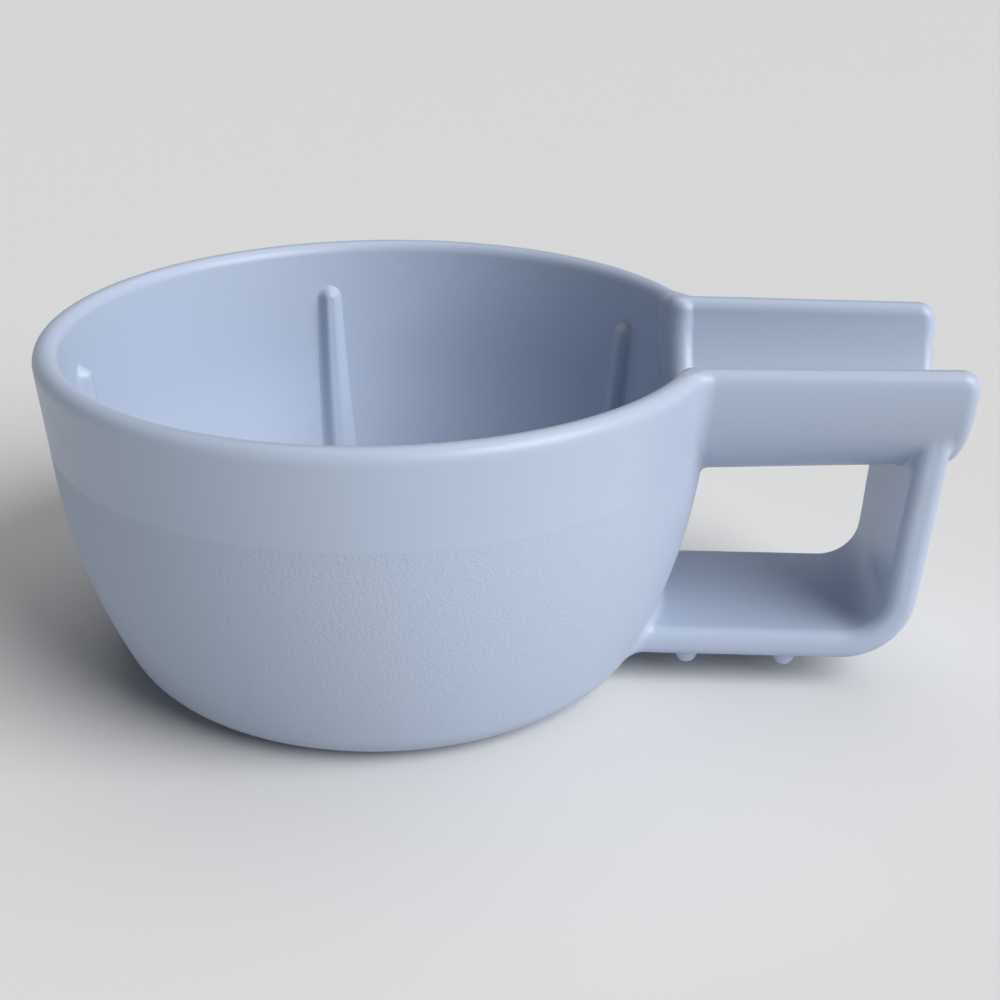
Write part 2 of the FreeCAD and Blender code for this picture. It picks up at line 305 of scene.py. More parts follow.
@dataclass(frozen=True)
class MugForm:
    """The whole moulding without its ribs and pips."""

    bowl: BowlForm
    trough: TroughForm
    loop: LoopForm
    trough_top_fillet: float = 2.4
    trough_low_fillet: float = 0.9
    crease: float = 0.45
    strap_fillet: float = 1.9
    post_fillet: float = 0.8
    fillet_run: float = 12.0

    def distance(self, points: Array) -> Array:
        """Return the signed distance from each point to the moulding's skin, in millimetres."""
        along, side, up = points[..., 0], points[..., 1], points[..., 2]
        half = self.bowl.wall / 2
        middle = self.bowl.from_middle(np.hypot(along, side), up)
        face, above = self.trough.from_outside(along, side, up)
        mouth = np.where(along > 0, -face - half - self.trough.mouth_step, -1.0)
        bowl = np.hypot(middle, np.maximum(mouth, 0.0)) - half
        behind = np.maximum(self.bowl.rim_radius / 2 - along, 0.0)
        trough = self._trough_wall(along, middle, face, above) + behind
        outside = 1.0 - ease(-face, 0.0, half)
        rise = ease(up, self.bowl.height - self.trough.root_depth, self.bowl.height)
        fillet = self.trough_low_fillet + (self.trough_top_fillet - self.trough_low_fillet) * rise
        radius = self.crease + (fillet - self.crease) * outside
        vessel = np.maximum(round_join(bowl, trough, radius), up - self.bowl.height)
        above_loop = up - self.bowl.height + self.trough.root_depth - self.trough.bottom_radius
        clear = np.maximum(np.maximum(-middle, -face - half), above_loop)
        loop = np.maximum(self.loop.distance(along, side, up), clear) + behind
        far = ease(along, self.bowl.rim_radius, self.bowl.rim_radius + self.fillet_run)
        root = self.strap_fillet + (self.post_fillet - self.strap_fillet) * far
        return round_join(vessel, loop, root)

    def _trough_wall(self, along: Array, middle: Array, face: Array, above: Array) -> Array:
        """Return distances to the trough's wall, whose free edges are full rounds."""
        half = self.bowl.wall / 2
        corner = self.trough.corner_radius
        end = self.bowl.rim_radius + self.trough.length - half
        past_end = along - end + corner
        past_top = above + corner
        edge = np.hypot(np.maximum(past_end, 0.0), np.maximum(past_top, 0.0))
        edge += np.minimum(np.maximum(past_end, past_top), 0.0) - corner
        edge = np.maximum(edge, 0.0)
        inward = np.maximum(-middle, 0.0)
        return np.sqrt((face + half) ** 2 + edge**2 + inward**2) - half

    def slope(self, points: Array, step: float = 0.02) -> Array:
        """Return the direction in which the distance grows fastest, not scaled to length one."""
        slopes = np.empty_like(points)
        for axis in range(3):
            shift = np.zeros(3)
            shift[axis] = step
            slopes[:, axis] = self.distance(points + shift) - self.distance(points - shift)
        return slopes / (2 * step)

    def settle(self, points: Array, rounds: int = 3) -> Array:
        """Move points square onto the moulding's skin."""
        for _ in range(rounds):
            slopes = self.slope(points)
            steepness = np.maximum((slopes**2).sum(axis=1), 0.25)
            points = points - slopes * (self.distance(points) / steepness)[:, None]
        return points


# ----------------------------------------------
# Skin: an even quad mesh over the form, cut into its pieces
# ----------------------------------------------


@dataclass(frozen=True)
class Cut:
    """A plane that keeps what lies on its low side, or on its high side.

    A plane may reach only the skin below one height, or only the skin beyond one distance from the axis.
    """

    axis: int
    level: float
    keep_high: bool
    only_below: Optional[float] = None
    only_beyond: Optional[float] = None


def skin_mesh(form: MugForm, low: Array, high: Array, cell: float) -> tuple[Array, Array]:
    """Cover the form in even quads.

    Args:
        form: The moulding.
        low: Lowest corner of the space to search, in millimetres.
        high: Highest corner of that space.
        cell: Size of a quad.

    Returns:
        Points, and quads as point numbers, wound so that faces point outwards.
    """
    axes = [np.arange(low[axis], high[axis] + cell, cell) for axis in range(3)]
    values = np.empty([len(axis) for axis in axes], np.float32)
    for index, along in enumerate(axes[0]):
        side, up = np.meshgrid(axes[1], axes[2], indexing="ij")
        values[index] = form.distance(np.stack([np.full_like(side, along), side, up], axis=-1))
    grid = openvdb.FloatGrid()
    grid.copyFromArray(values)
    points, quads = grid.convertToQuads(isovalue=0.0)
    points = form.settle(points.astype(float) * cell + low)
    quads = quads.astype(np.int64)
    for _ in range(4):
        points = form.settle(evened(points, quads), rounds=2)
    corners = points[quads]
    across = np.cross(corners[:, 2] - corners[:, 0], corners[:, 3] - corners[:, 1])
    if (across * corners[:, 0]).sum() < 0:
        quads = quads[:, ::-1]
    return points, quads


def evened(points: Array, quads: Array) -> Array:
    """Move each point halfway to the middle of its neighbours."""
    starts = quads.ravel()
    ends = np.roll(quads, -1, axis=1).ravel()
    counts = np.bincount(starts, minlength=len(points)) + np.bincount(ends, minlength=len(points))
    middles = np.empty_like(points)
    for axis in range(3):
        total = np.bincount(starts, points[ends, axis], len(points))
        total += np.bincount(ends, points[starts, axis], len(points))
        middles[:, axis] = total / counts
    return (points + middles) / 2


def cut_mesh(whole: bmesh.types.BMesh, cuts: Iterable[Cut]) -> bmesh.types.BMesh:
    """Cut a piece out of the whole skin along planes, and close each cut face.

    Args:
        whole: The whole skin, in millimetres.
        cuts: The planes that bound the piece.

    Returns:
        The closed piece.
    """
    piece = whole.copy()
    for plane in cuts:
        origin = Vector((0.0, 0.0, 0.0))
        origin[plane.axis] = plane.level
        normal = Vector((0.0, 0.0, 0.0))
        normal[plane.axis] = -1.0 if plane.keep_high else 1.0
        faces = [face for face in piece.faces if in_reach(face, plane)]
        edges = {edge for face in faces for edge in face.edges}
        verts = {vert for edge in edges for vert in edge.verts}
        bmesh.ops.bisect_plane(
            piece, geom=[*verts, *edges, *faces], dist=ON_PLANE, plane_co=origin, plane_no=normal
        )
        gone = [
            face
            for face in piece.faces
            if in_reach(face, plane) and (face.calc_center_median() - origin).dot(normal) > 0
        ]
        bmesh.ops.delete(piece, geom=gone, context="FACES")
        skin = piece.faces.layers.int["skin"]
        for rim in open_rims(piece):
            filled = bmesh.ops.triangle_fill(piece, use_beauty=True, edges=rim, normal=normal)
            for face in filled["geom"]:
                if isinstance(face, bmesh.types.BMFace):
                    face[skin] = 0
                    face.normal_update()
                    if face.normal.dot(normal) < 0:
                        face.normal_flip()
    return piece


def open_rims(piece: bmesh.types.BMesh) -> list[list[bmesh.types.BMEdge]]:
    """Sort a piece's open edges into rims, each a loop together with the loops that lie inside it."""
    loose = {edge for edge in piece.edges if edge.is_boundary}
    loops = []
    while loose:
        loop = [loose.pop()]
        for edge in loop:
            near = {other for vert in edge.verts for other in vert.link_edges} & loose
            loose -= near
            loop += near
        loops.append(loop)
    rims: list[tuple[Array, Array, list]] = []
    for loop in sorted(loops, key=len, reverse=True):
        corners = np.array([vert.co for edge in loop for vert in edge.verts])
        low, high = corners.min(axis=0), corners.max(axis=0)
        holder = [rim for rim in rims if (low >= rim[0]).all() and (high <= rim[1]).all()]
        if holder:
            holder[0][2].extend(loop)
        else:
            rims.append((low, high, loop))
    return [rim[2] for rim in rims]


def in_reach(face: bmesh.types.BMFace, plane: Cut) -> bool:
    """Tell whether a cut touches a face, for a cut that only reaches part of the skin."""
    middle = face.calc_center_median()
    if plane.only_below is not None and middle.z > plane.only_below:
        return False
    return plane.only_beyond is None or middle.x > plane.only_beyond


def shade_from_form(mesh: bpy.types.Mesh, form: MugForm) -> None:
    """Give the skin the form's own normals, so that pieces join without a seam, and keep cut faces flat."""
    count = len(mesh.vertices)
    points = np.empty(count * 3)
    mesh.vertices.foreach_get("co", points)
    slopes = form.slope(points.reshape(-1, 3) / MM)
    slopes /= np.linalg.norm(slopes, axis=1)[:, None]
    on_skin = np.empty(len(mesh.polygons), np.int32)
    mesh.attributes["skin"].data.foreach_get("value", on_skin)
    sizes = np.empty(len(mesh.polygons), np.int32)
    mesh.polygons.foreach_get("loop_total", sizes)
    flat = np.empty(len(mesh.polygons) * 3)
    mesh.polygons.foreach_get("normal", flat)
    corners = np.empty(len(mesh.loops), np.int32)
    mesh.loops.foreach_get("vertex_index", corners)
    owner = np.repeat(np.arange(len(mesh.polygons)), sizes)
    normals = np.where(on_skin[owner, None] == 1, slopes[corners], flat.reshape(-1, 3)[owner])
    mesh.polygons.foreach_set("use_smooth", np.ones(len(mesh.polygons), bool))
    mesh.normals_split_custom_set(normals)
    mesh.update()


@dataclass
class Skin:
    """The moulding's whole skin, ready to be cut into pieces."""

    form: MugForm
    cell: float = 0.8
    whole: bmesh.types.BMesh = field(default_factory=bmesh.new)

    def grow(self, low: Vector, high: Vector) -> None:
        """Build the skin inside a box, given in metres."""
        margin = np.full(3, 3 * self.cell)
        bottom, top = np.array(low) / MM - margin, np.array(high) / MM + margin
        points, quads = skin_mesh(self.form, bottom, top, self.cell)
        mesh = bpy.data.meshes.new("skin")
        mesh.from_pydata(points.tolist(), [], quads.tolist())
        self.whole.from_mesh(mesh)
        layer = self.whole.faces.layers.int.new("skin")
        for face in self.whole.faces:
            face[layer] = 1
        bpy.data.meshes.remove(mesh)
        LOG.info("skin: %d points, %d quads", len(points), len(quads))

    def piece(self, name: str, cuts: Sequence[Cut]) -> bpy.types.Object:
        """Cut one named piece out of the skin."""
        cut = cut_mesh(self.whole, cuts)
        bmesh.ops.scale(cut, vec=(MM, MM, MM), verts=cut.verts)
        mesh = bpy.data.meshes.new(name)
        cut.to_mesh(mesh)
        cut.free()
        shade_from_form(mesh, self.form)
        made = bpy.data.objects.new(name, mesh)
        bpy.context.scene.collection.objects.link(made)
        return made


# ----------------------------------------------
# Geometry Nodes: turned pieces, studs and ribs
# ----------------------------------------------


class Socket(Enum):
    """The kinds of named input that a tree takes."""

    SIZE = "NodeSocketFloat"
    COUNT = "NodeSocketInt"
    PIECE = "NodeSocketObject"
    FINISH = "NodeSocketMaterial"


class Tree:
    """A Geometry Nodes tree under construction."""

    def __init__(self, name: str) -> None:
        """Start an empty tree with one geometry output."""
        self.group = bpy.data.node_groups.new(name, "GeometryNodeTree")
        self.group.interface.new_socket("Geometry", in_out="INPUT", socket_type="NodeSocketGeometry")
        self.group.interface.new_socket("Geometry", in_out="OUTPUT", socket_type="NodeSocketGeometry")
        self.entry = self.group.nodes.new("NodeGroupInput")
        self.exit = self.group.nodes.new("NodeGroupOutput")

    def input(self, name: str, kind: Socket) -> bpy.types.NodeSocket:
        """Add a named input and return the socket that carries it."""
        self.group.interface.new_socket(name, in_out="INPUT", socket_type=kind.value)
        return self.entry.outputs[name]

    def node(self, kind: str, inputs: Optional[dict] = None, **settings: object) -> bpy.types.Node:
        """Add a node.

        Args:
            kind: The node's type.
            inputs: Values or sockets by input name or number.
            settings: The node's own properties.

        Returns:
            The node.
        """
        made = self.group.nodes.new(kind)
        for name, value in settings.items():
            setattr(made, name, value)
        for name, value in (inputs or {}).items():
            if isinstance(value, bpy.types.NodeSocket):
                self.group.links.new(value, made.inputs[name])
            else:
                made.inputs[name].default_value = value
        return made

    def math(self, operation: str, first: object, second: object = 0.0) -> bpy.types.NodeSocket:
        """Add a sum and return its result."""
        return self.node("ShaderNodeMath", {0: first, 1: second}, operation=operation).outputs[0]

    def vector(self, operation: str, first: object, second: object) -> bpy.types.NodeSocket:
        """Add a vector sum and return its result."""
        return self.node("ShaderNodeVectorMath", {0: first, 1: second}, operation=operation).outputs[0]

    def scaled(self, vector: object, scale: object) -> bpy.types.NodeSocket:
        """Return a vector times a number."""
        made = self.node("ShaderNodeVectorMath", {0: vector, "Scale": scale}, operation="SCALE")
        return made.outputs[0]

    def grid(self, across: object, along: object) -> tuple:
        """Add a sheet of quads and return its mesh and each point's place on it, from 0 to 1."""
        sheet = self.node(
            "GeometryNodeMeshGrid",
            {"Size X": 1.0, "Size Y": 1.0, "Vertices X": across, "Vertices Y": along},
        )
        place = self.node("GeometryNodeInputPosition").outputs[0]
        parts = self.node("ShaderNodeSeparateXYZ", {0: place})
        shares = [self.math("ADD", parts.outputs[axis], 0.5) for axis in ("X", "Y")]
        return sheet.outputs["Mesh"], shares[0], shares[1]

    def finish(self, geometry: object, material: object) -> None:
        """End the tree: real geometry with its material on it."""
        real = self.node("GeometryNodeRealizeInstances", {0: geometry}).outputs[0]
        dressed = self.node("GeometryNodeSetMaterial", {"Geometry": real, "Material": material})
        self.group.links.new(dressed.outputs[0], self.exit.inputs[0])

    def bake(self, name: str, values: dict) -> bpy.types.Object:
        """Run the tree once and keep its result as a plain mesh.

        Args:
            name: Name of the new object.
            values: What goes into each named input.

        Returns:
            The new object, at the origin.
        """
        host = bpy.data.objects.new(name + "_host", bpy.data.meshes.new(name + "_host"))
        bpy.context.scene.collection.objects.link(host)
        modifier = host.modifiers.new("nodes", "NODES")
        modifier.node_group = self.group
        for item in self.group.interface.items_tree:
            if item.in_out == "INPUT" and item.name in values:
                modifier[item.identifier] = values[item.name]
        graph = bpy.context.evaluated_depsgraph_get()
        mesh = bpy.data.meshes.new_from_object(host.evaluated_get(graph))
        host.modifiers.remove(modifier)
        bpy.data.objects.remove(host)
        mesh.name = name
        made = bpy.data.objects.new(name, mesh)
        bpy.context.scene.collection.objects.link(made)
        return made


def outline_piece(name: str, points: Sequence[tuple[float, float]]) -> bpy.types.Object:
    """Lay an outline of radius and height points, in millimetres, out as a string of edges."""
    mesh = bpy.data.meshes.new(name)
    corners = [(across * MM, 0.0, up * MM) for across, up in points]
    mesh.from_pydata(corners, [(i, i + 1) for i in range(len(corners) - 1)], [])
    made = bpy.data.objects.new(name, mesh)
    bpy.context.scene.collection.objects.link(made)
    return made


def turned(tree: Tree, outline: object, around: object) -> bpy.types.NodeSocket:
    """Turn an outline about the upright axis, with its corners kept sharp."""
    source = tree.node("GeometryNodeObjectInfo", {0: outline}, transform_space="RELATIVE")
    line = source.outputs["Geometry"]
    size = tree.node("GeometryNodeAttributeDomainSize", {0: line}, component="MESH")
    count = size.outputs["Point Count"]
    sheet, turn, share = tree.grid(around, count)
    last = tree.math("SUBTRACT", count, 1.0)
    number = tree.math("ROUND", tree.math("MULTIPLY", share, last))
    place = tree.node("GeometryNodeInputPosition").outputs[0]
    sample = tree.node(
        "GeometryNodeSampleIndex", {"Geometry": line, "Index": number}, data_type="FLOAT_VECTOR"
    )
    tree.group.links.new(place, sample.inputs["Value"])
    angle = tree.math("MULTIPLY", turn, math.tau)
    spun = tree.node("ShaderNodeVectorRotate", {"Vector": sample.outputs[0], "Angle": angle})
    moved = tree.node("GeometryNodeSetPosition", {"Geometry": sheet, "Position": spun.outputs[0]})
    return closed(tree, moved.outputs[0], SHARP_TURN)


def closed(tree: Tree, geometry: object, sharp: float) -> bpy.types.NodeSocket:
    """Merge doubled points, and shade smooth but for edges that bend more than sharp."""
    merged = tree.node("GeometryNodeMergeByDistance", {"Geometry": geometry, "Distance": MERGE_GAP})
    bend = tree.node("GeometryNodeInputMeshEdgeAngle").outputs["Unsigned Angle"]
    keen = tree.node("FunctionNodeCompare", {0: bend, 1: sharp}, operation="GREATER_THAN")
    soft = tree.node(
        "GeometryNodeSetShadeSmooth", {"Geometry": merged.outputs[0], "Shade Smooth": True}
    )
    creased = tree.node(
        "GeometryNodeSetShadeSmooth",
        {"Geometry": soft.outputs[0], "Selection": keen.outputs[0], "Shade Smooth": False},
        domain="EDGE",
    )
    return creased.outputs[0]


def turned_tree() -> Tree:
    """Return the tree that turns one outline into a solid."""
    tree = Tree("turned_piece")
    outline = tree.input("Outline", Socket.PIECE)
    around = tree.input("Around", Socket.COUNT)
    material = tree.input("Material", Socket.FINISH)
    tree.finish(turned(tree, outline, around), material)
    return tree


def stud_tree() -> Tree:
    """Return the tree that sets one turned stud on every point of a layout."""
    tree = Tree("studs_on_points")
    outline = tree.input("Outline", Socket.PIECE)
    layout = tree.input("Layout", Socket.PIECE)
    around = tree.input("Around", Socket.COUNT)
    material = tree.input("Material", Socket.FINISH)
    places = tree.node("GeometryNodeObjectInfo", {0: layout}, transform_space="RELATIVE")
    stud = turned(tree, outline, around)
    spread = tree.node(
        "GeometryNodeInstanceOnPoints", {"Points": places.outputs["Geometry"], "Instance": stud}
    )
    tree.finish(spread.outputs[0], material)
    return tree


def rib_section(
    tree: Tree, side: object, along: object, length: object, width: object, crown: object
) -> tuple[bpy.types.NodeSocket, bpy.types.NodeSocket]:
    """Shape a rib across and along, with round ends.

    Args:
        tree: The rib's tree.
        side: Place across the rib, from -1 to 1.
        along: Place along it, from 0 to 1.
        length: The rib's length.
        width: Its half width at that place.
        crown: Share of the half width that is at full height.

    Returns:
        The place across after the ends are drawn in, and the share of the full height.
    """
    near = tree.math("MINIMUM", along, tree.math("SUBTRACT", 1.0, along))
    near = tree.math("DIVIDE", tree.math("MULTIPLY", near, length), width)
    end = tree.math("MAXIMUM", tree.math("SUBTRACT", 1.0, near), 0.0)
    squeeze = tree.math("SUBTRACT", 1.0, tree.math("MULTIPLY", end, end))
    squeeze = tree.math("SQRT", tree.math("MAXIMUM", squeeze, 0.0))
    across = tree.math("MULTIPLY", side, squeeze)
    reach = tree.math("ADD", tree.math("MULTIPLY", across, across), tree.math("MULTIPLY", end, end))
    reach = tree.math("MINIMUM", tree.math("SQRT", reach), 1.0)
    bump = tree.node(
        "ShaderNodeMapRange",
        {"Value": reach, "From Min": crown, "From Max": 1.0, "To Min": 1.0, "To Max": 0.0},
        interpolation_type="SMOOTHSTEP",
    ).outputs[0]
    return across, bump


def rib_tree() -> Tree:
    """Return the tree that lays tapering, round-topped ribs along the inside of a turned wall."""
    tree = Tree("wall_ribs")
    line = tree.input("Wall Line", Socket.PIECE)
    foot = tree.input("Foot Half Width", Socket.SIZE)
    top = tree.input("Top Half Width", Socket.SIZE)
    height = tree.input("Height", Socket.SIZE)
    sink = tree.input("Sink", Socket.SIZE)
    crown = tree.input("Crown Share", Socket.SIZE)
    count = tree.input("Count", Socket.COUNT)
    first = tree.input("First Angle", Socket.SIZE)
    spacing = tree.input("Spacing", Socket.SIZE)
    rows = tree.input("Rows", Socket.COUNT)
    columns = tree.input("Columns", Socket.COUNT)
    material = tree.input("Material", Socket.FINISH)

    source = tree.node("GeometryNodeObjectInfo", {0: line}, transform_space="RELATIVE")
    path = tree.node("GeometryNodeMeshToCurve", {0: source.outputs["Geometry"]}).outputs[0]
    length = tree.node("GeometryNodeCurveLength", {0: path}).outputs[0]
    sheet, along, share = tree.grid(rows, columns)
    side = tree.math("SUBTRACT", tree.math("MULTIPLY", share, 2.0), 1.0)
    width = tree.math("ADD", foot, tree.math("MULTIPLY", along, tree.math("SUBTRACT", top, foot)))
    across, bump = rib_section(tree, side, along, length, width, crown)
    sample = tree.node("GeometryNodeSampleCurve", {"Curves": path, "Factor": along}, mode="FACTOR")
    run = tree.node("ShaderNodeSeparateXYZ", {0: sample.outputs["Tangent"]})
    inward = tree.node(
        "ShaderNodeCombineXYZ",
        {"X": tree.math("MULTIPLY", run.outputs["Z"], -1.0), "Z": run.outputs["X"]},
    ).outputs[0]
    spot = sample.outputs["Position"]
    radius = tree.node("ShaderNodeSeparateXYZ", {0: spot}).outputs["X"]
    angle = tree.math("DIVIDE", tree.math("MULTIPLY", across, width), radius)
    skins = []
    for depth, flip in ((height, False), (tree.math("MULTIPLY", sink, -1.0), True)):
        lift = tree.scaled(inward, tree.math("MULTIPLY", depth, bump))
        place = tree.vector("ADD", spot, lift)
        bent = tree.node("ShaderNodeVectorRotate", {"Vector": place, "Angle": angle}).outputs[0]
        skin = tree.node("GeometryNodeSetPosition", {"Geometry": sheet, "Position": bent}).outputs[0]
        skins.append(tree.node("GeometryNodeFlipFaces", {0: skin}).outputs[0] if flip else skin)
    both = tree.node("GeometryNodeJoinGeometry")
    for skin in skins:
        tree.group.links.new(skin, both.inputs[0])
    rib = closed(tree, both.outputs[0], SHARP_RIB)
    points = tree.node("GeometryNodePoints", {"Count": count}).outputs[0]
    number = tree.node("GeometryNodeInputIndex").outputs[0]
    turn = tree.math("ADD", first, tree.math("MULTIPLY", number, spacing))
    rotation = tree.node("ShaderNodeCombineXYZ", {"Z": turn}).outputs[0]
    spread = tree.node(
        "GeometryNodeInstanceOnPoints", {"Points": points, "Instance": rib, "Rotation": rotation}
    )
    tree.finish(spread.outputs[0], material)
    return tree


# ----------------------------------------------
# Finishes
# ----------------------------------------------


@dataclass(frozen=True)
class PlasticFinish:
    """Coloured plastic as it comes out of a steel mould: even colour, a soft sheen and a fine skin."""

    slot: str
    colour: tuple[float, float, float]
    roughness: float
    grain_size: float
    grain_depth: float
    cloud_share: float = 0.04

    def build(self) -> bpy.types.Material:
        """Return the finish as a material."""
        material = bpy.data.materials.new(self.slot)
        material.use_nodes = True
        tree = material.node_tree
        shader = tree.nodes["Principled BSDF"]
        shader.inputs["IOR"].default_value = 1.49
        place = tree.nodes.new("ShaderNodeTexCoord").outputs["Object"]
        cloud = self._noise(tree, place, 28.0, 3.0)
        tint = tree.nodes.new("ShaderNodeMix")
        tint.data_type = "RGBA"
        darker = [value * (1.0 - self.cloud_share) for value in self.colour]
        tint.inputs["A"].default_value = (*darker, 1.0)
        tint.inputs["B"].default_value = (*self.colour, 1.0)
        tree.links.new(cloud, tint.inputs["Factor"])
        tree.links.new(tint.outputs["Result"], shader.inputs["Base Color"])
        smear = self._noise(tree, place, 190.0, 4.0)
        matt = tree.nodes.new("ShaderNodeMapRange")
        matt.inputs["To Min"].default_value = self.roughness - 0.04
        matt.inputs["To Max"].default_value = self.roughness + 0.05
        tree.links.new(smear, matt.inputs["Value"])
        tree.links.new(matt.outputs["Result"], shader.inputs["Roughness"])
        grain = self._noise(tree, place, 1.0 / self.grain_size, 2.0)
        relief = tree.nodes.new("ShaderNodeBump")
        relief.inputs["Distance"].default_value = self.grain_depth
        relief.inputs["Strength"].default_value = 1.0
        tree.links.new(grain, relief.inputs["Height"])
        tree.links.new(relief.outputs["Normal"], shader.inputs["Normal"])
        return material

    @staticmethod
    def _noise(
        tree: bpy.types.NodeTree, place: bpy.types.NodeSocket, scale: float, detail: float
    ) -> bpy.types.NodeSocket:
        """Add a soft noise pattern and return its value."""
        noise = tree.nodes.new("ShaderNodeTexNoise")
        noise.inputs["Scale"].default_value = scale
        noise.inputs["Detail"].default_value = detail
        tree.links.new(place, noise.inputs["Vector"])
        return noise.outputs[0]


SMOOTH = PlasticFinish("smooth_plastic", (0.44, 0.515, 0.655), 0.38, 0.0016, 0.000015)
GRAINED = PlasticFinish("grained_plastic", (0.43, 0.50, 0.635), 0.6, 0.0005, 0.00009)


# ----------------------------------------------
# Sub-assemblies
# ----------------------------------------------


def adopt(piece: bpy.types.Object, slot: str, *nodes: str) -> None:
    """Let a finished piece stand for its CAD nodes."""
    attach(piece, "root")
    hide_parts(*nodes)
    LOG.info("%s: %d faces, stands for %s", piece.name, len(piece.data.polygons), ", ".join(nodes))


@dataclass
class Vessel:
    """The bowl: base, grained wall, smooth rim band and the lather ribs inside it."""

    skin: Skin
    smooth: bpy.types.Material
    grained: bpy.types.Material
    rib_count: int = 5
    rib_height: float = 2.0
    rib_top_half: float = 2.35
    rib_foot_half: float = 4.4
    rib_top_gap: float = 8.2
    rib_floor_reach: float = 4.0
    rib_crown: float = 0.25
    rib_first: float = math.radians(36.0)
    rib_spacing: float = math.radians(72.0)
    rib_sink: float = 0.4
    floor_clear: float = 0.02
    strap_clear: float = 3.0
    strap_reach: float = 6.0
    outer_face: tuple[float, float] = (0.25, 0.55)

    def build(self) -> None:
        """Build and dress every piece of the bowl."""
        self.build_base()
        self.build_wall()
        self.build_band()
        self.build_ribs()

    def build_base(self) -> None:
        """Turn the base: the flat underside, the round heel and the cut up to floor level."""
        form = self.skin.form.bowl
        across, level = form.heel_centre
        end = -math.acos((level - form.wall) / form.heel_radius)
        turns = np.linspace(-math.pi / 2, -math.pi / 2 - end, 24)
        radius = form.heel_radius
        heel = [(across + radius * math.cos(t), level + radius * math.sin(t)) for t in turns]
        flat = [(x, 0.0) for x in np.linspace(0.0, across, 20)[:-1]]
        top = [(x, form.wall) for x in np.linspace(heel[-1][0], 0.0, 20)[1:]]
        outline = outline_piece("base_outline", flat + heel + top)
        base = turned_tree().bake(
            "bowl_base", {"Outline": outline, "Around": 193, "Material": self.smooth}
        )
        bpy.data.objects.remove(outline)
        self.grain_outside(base)
        skin = base.data.attributes.new("skin", "INT", "FACE")
        lid = form.wall * MM - LID_MARGIN
        skin.data.foreach_set("value", [int(face.center.z < lid) for face in base.data.polygons])
        shade_from_form(base.data, self.skin.form)
        adopt(base, GRAINED.slot, "bowl_base")

    def build_wall(self) -> None:
        """Cut the wall out of the skin, grained outside and smooth inside."""
        low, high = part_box("bowl_wall")
        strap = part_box("loop_strap")[0].x / MM
        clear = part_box("loop_strap")[1].z / MM + self.strap_clear
        cuts = (
            Cut(2, low.z / MM + self.floor_clear, True),
            Cut(2, high.z / MM, False),
            Cut(0, high.x / MM, False),
            Cut(0, strap, False, only_below=clear, only_beyond=strap - self.strap_reach),
        )
        wall = self.skin.piece("bowl_wall", cuts)
        self.grain_outside(wall)
        adopt(wall, GRAINED.slot, "bowl_wall")

    def grain_outside(self, piece: bpy.types.Object) -> None:
        """Give a piece the grained finish on the bowl's outer face and the smooth one elsewhere."""
        piece.data.materials.clear()
        piece.data.materials.append(self.smooth)
        piece.data.materials.append(self.grained)
        form = self.skin.form.bowl
        centres = np.empty(len(piece.data.polygons) * 3)
        piece.data.polygons.foreach_get("center", centres)
        centres = centres.reshape(-1, 3) / MM
        middle = form.from_middle(np.hypot(centres[:, 0], centres[:, 1]), centres[:, 2])
        nearest, furthest = self.outer_face
        outside = (middle > form.wall * nearest) & (middle < form.wall * furthest)
        piece.data.polygons.foreach_set("material_index", outside.astype(np.int32))

    def build_band(self) -> None:
        """Cut the smooth band and its round lip out of the skin."""
        low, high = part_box("rim_band")
        band = self.skin.piece("rim_band", (Cut(2, low.z / MM, True), Cut(0, high.x / MM, False)))
        band.data.materials.append(self.smooth)
        adopt(band, SMOOTH.slot, "rim_band")

    def build_ribs(self) -> None:
        """Lay the lather ribs up the inside of the bowl."""
        form = self.skin.form.bowl
        start = form.heel_centre[0] - self.rib_floor_reach
        points = form.inner_line(start, form.height - self.rib_top_gap)
        line = outline_piece("rib_line", points)
        values = {
            "Wall Line": line,
            "Foot Half Width": self.rib_foot_half * MM,
            "Top Half Width": self.rib_top_half * MM,
            "Height": self.rib_height * MM,
            "Sink": self.rib_sink * MM,
            "Crown Share": self.rib_crown,
            "Count": self.rib_count,
            "First Angle": self.rib_first,
            "Spacing": self.rib_spacing,
            "Rows": 121,
            "Columns": 17,
            "Material": self.smooth,
        }
        ribs = rib_tree().bake("lather_ribs", values)
        bpy.data.objects.remove(line)
        adopt(ribs, SMOOTH.slot, *[f"lather_rib_{index + 1}" for index in range(self.rib_count)])


